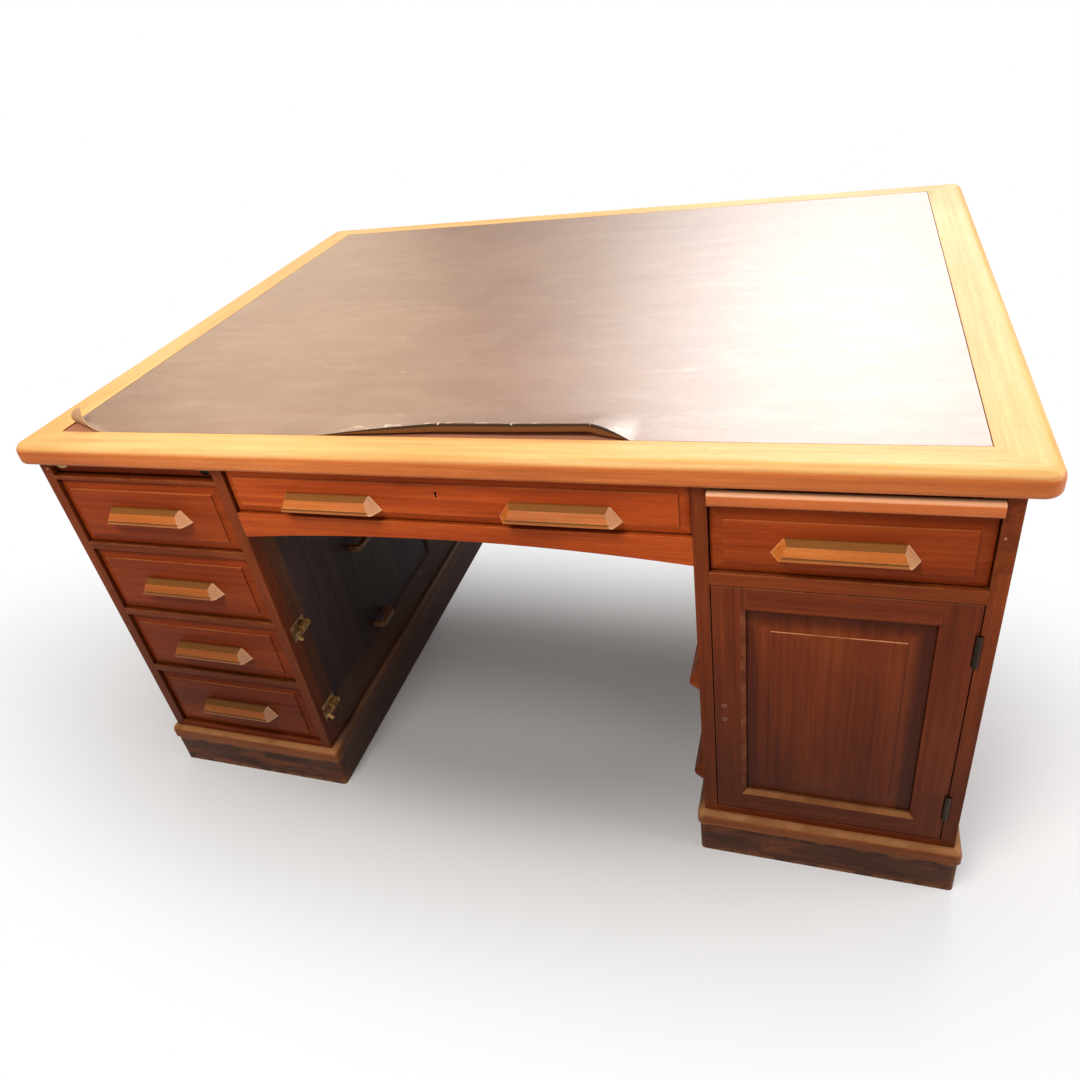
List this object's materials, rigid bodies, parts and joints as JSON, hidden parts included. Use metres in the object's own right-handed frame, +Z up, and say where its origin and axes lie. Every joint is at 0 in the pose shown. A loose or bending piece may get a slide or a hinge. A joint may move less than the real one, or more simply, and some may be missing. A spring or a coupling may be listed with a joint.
{
  "type": "partners desk",
  "caption": "Wooden pedestal desk for two users facing each other, with a leather-lined top, fielded drawers, cupboards, writing slides and an arched kneehole.",
  "frame": {"origin": "on the floor, under the middle of the desk", "axes": "+X along the width, to the right of a user at the front; -Y to the front user; +Z up"},
  "size_m": [1.524, 1.193, 0.77],
  "materials": {
    "case_wood": "satin",
    "border_wood": "satin",
    "pull_wood": "gloss",
    "plinth_wood": "satin",
    "lining_wood": "matte",
    "leather": "satin",
    "brass": "satin"
  },
  "bodies": {
    "carcass": {"top_border": "border_wood", "right_outer_frame": "case_wood", "left_outer_frame": "case_wood", "right_kneehole_frame": "case_wood", "left_kneehole_frame": "case_wood", "right_side_panels": "case_wood", "left_side_panels": "case_wood", "drawer_rails": "case_wood", "front_apron": "case_wood", "rear_apron": "case_wood", "pedestal_inner_boards": "lining_wood", "drawer_runners": "lining_wood", "centre_runners": "lining_wood", "top_panel": "lining_wood", "right_plinth": "plinth_wood", "left_plinth": "plinth_wood", "plinth_mouldings": "plinth_wood", "carcass_hinge_leaves": "brass", "barrel_bolts": "brass", "kneehole_loops": "pull_wood", "kneehole_grips": "pull_wood", "top_leather": "leather"},
    "front_left_drawer_1": {"front_left_drawer_1": "case_wood", "front_left_drawer_1_pull": "pull_wood"},
    "rear_right_drawer_1": {"rear_right_drawer_1": "case_wood", "rear_right_drawer_1_pull": "pull_wood"},
    "front_left_drawer_2": {"front_left_drawer_2": "case_wood", "front_left_drawer_2_pull": "pull_wood"},
    "rear_right_drawer_2": {"rear_right_drawer_2": "case_wood", "rear_right_drawer_2_pull": "pull_wood"},
    "front_left_drawer_3": {"front_left_drawer_3": "case_wood", "front_left_drawer_3_pull": "pull_wood"},
    "rear_right_drawer_3": {"rear_right_drawer_3": "case_wood", "rear_right_drawer_3_pull": "pull_wood"},
    "front_left_drawer_4": {"front_left_drawer_4": "case_wood", "front_left_drawer_4_pull": "pull_wood"},
    "rear_right_drawer_4": {"rear_right_drawer_4": "case_wood", "rear_right_drawer_4_pull": "pull_wood"},
    "front_right_drawer": {"front_right_drawer": "case_wood", "front_right_drawer_pull": "pull_wood"},
    "rear_left_drawer": {"rear_left_drawer": "case_wood", "rear_left_drawer_pull": "pull_wood"},
    "front_centre_drawer": {"front_centre_drawer": "case_wood", "front_centre_drawer_pull": "pull_wood", "front_centre_lock": "brass"},
    "rear_centre_drawer": {"rear_centre_drawer": "case_wood", "rear_centre_drawer_pull": "pull_wood", "rear_centre_lock": "brass"},
    "front_left_writing_slide": {"front_left_slide": "case_wood"},
    "rear_right_writing_slide": {"rear_right_slide": "case_wood"},
    "front_right_writing_slide": {"front_right_slide": "case_wood"},
    "rear_left_writing_slide": {"rear_left_slide": "case_wood"},
    "front_right_door": {"front_right_door_frame": "case_wood", "front_right_door_panel": "case_wood", "front_right_door_hinges": "brass"},
    "rear_left_door": {"rear_left_door_frame": "case_wood", "rear_left_door_panel": "case_wood", "rear_left_door_hinges": "brass"},
    "lower_bolt_rod": {"lower_bolt_rod": "brass"},
    "upper_bolt_rod": {"upper_bolt_rod": "brass"}
  },
  "joints": [
    {"name": "front_left_drawer_1_slide", "type": "slide", "parent": "carcass", "child": "front_left_drawer_1", "axis": [0, -1, 0], "range_m": [0, 0.38]},
    {"name": "rear_right_drawer_1_slide", "type": "slide", "parent": "carcass", "child": "rear_right_drawer_1", "axis": [0, 1, 0], "range_m": [0, 0.38]},
    {"name": "front_left_drawer_2_slide", "type": "slide", "parent": "carcass", "child": "front_left_drawer_2", "axis": [0, -1, 0], "range_m": [0, 0.38]},
    {"name": "rear_right_drawer_2_slide", "type": "slide", "parent": "carcass", "child": "rear_right_drawer_2", "axis": [0, 1, 0], "range_m": [0, 0.38]},
    {"name": "front_left_drawer_3_slide", "type": "slide", "parent": "carcass", "child": "front_left_drawer_3", "axis": [0, -1, 0], "range_m": [0, 0.38]},
    {"name": "rear_right_drawer_3_slide", "type": "slide", "parent": "carcass", "child": "rear_right_drawer_3", "axis": [0, 1, 0], "range_m": [0, 0.38]},
    {"name": "front_left_drawer_4_slide", "type": "slide", "parent": "carcass", "child": "front_left_drawer_4", "axis": [0, -1, 0], "range_m": [0, 0.38]},
    {"name": "rear_right_drawer_4_slide", "type": "slide", "parent": "carcass", "child": "rear_right_drawer_4", "axis": [0, 1, 0], "range_m": [0, 0.38]},
    {"name": "front_right_drawer_slide", "type": "slide", "parent": "carcass", "child": "front_right_drawer", "axis": [0, -1, 0], "range_m": [0, 0.38]},
    {"name": "rear_left_drawer_slide", "type": "slide", "parent": "carcass", "child": "rear_left_drawer", "axis": [0, 1, 0], "range_m": [0, 0.38]},
    {"name": "front_centre_drawer_slide", "type": "slide", "parent": "carcass", "child": "front_centre_drawer", "axis": [0, -1, 0], "range_m": [0, 0.38]},
    {"name": "rear_centre_drawer_slide", "type": "slide", "parent": "carcass", "child": "rear_centre_drawer", "axis": [0, 1, 0], "range_m": [0, 0.38]},
    {"name": "front_left_writing_slide_pull_out", "type": "slide", "parent": "carcass", "child": "front_left_writing_slide", "axis": [0, -1, 0], "range_m": [0, 0.33]},
    {"name": "rear_right_writing_slide_pull_out", "type": "slide", "parent": "carcass", "child": "rear_right_writing_slide", "axis": [0, 1, 0], "range_m": [0, 0.33]},
    {"name": "front_right_writing_slide_pull_out", "type": "slide", "parent": "carcass", "child": "front_right_writing_slide", "axis": [0, -1, 0], "range_m": [0, 0.33]},
    {"name": "rear_left_writing_slide_pull_out", "type": "slide", "parent": "carcass", "child": "rear_left_writing_slide", "axis": [0, 1, 0], "range_m": [0, 0.33]},
    {"name": "front_right_door_hinge", "type": "hinge", "parent": "carcass", "child": "front_right_door", "pos_m": [0.70725, -0.5775, 0.3421], "axis": [0, 0, 1], "range_deg": [0, 105]},
    {"name": "rear_left_door_hinge", "type": "hinge", "parent": "carcass", "child": "rear_left_door", "pos_m": [-0.70725, 0.5775, 0.3421], "axis": [0, 0, 1], "range_deg": [0, 105]},
    {"name": "lower_bolt_rod_shoot", "type": "slide", "parent": "carcass", "child": "lower_bolt_rod", "axis": [0, 1, 0], "range_m": [0, 0.012]},
    {"name": "upper_bolt_rod_shoot", "type": "slide", "parent": "carcass", "child": "upper_bolt_rod", "axis": [0, 1, 0], "range_m": [0, 0.012]}
  ]
}
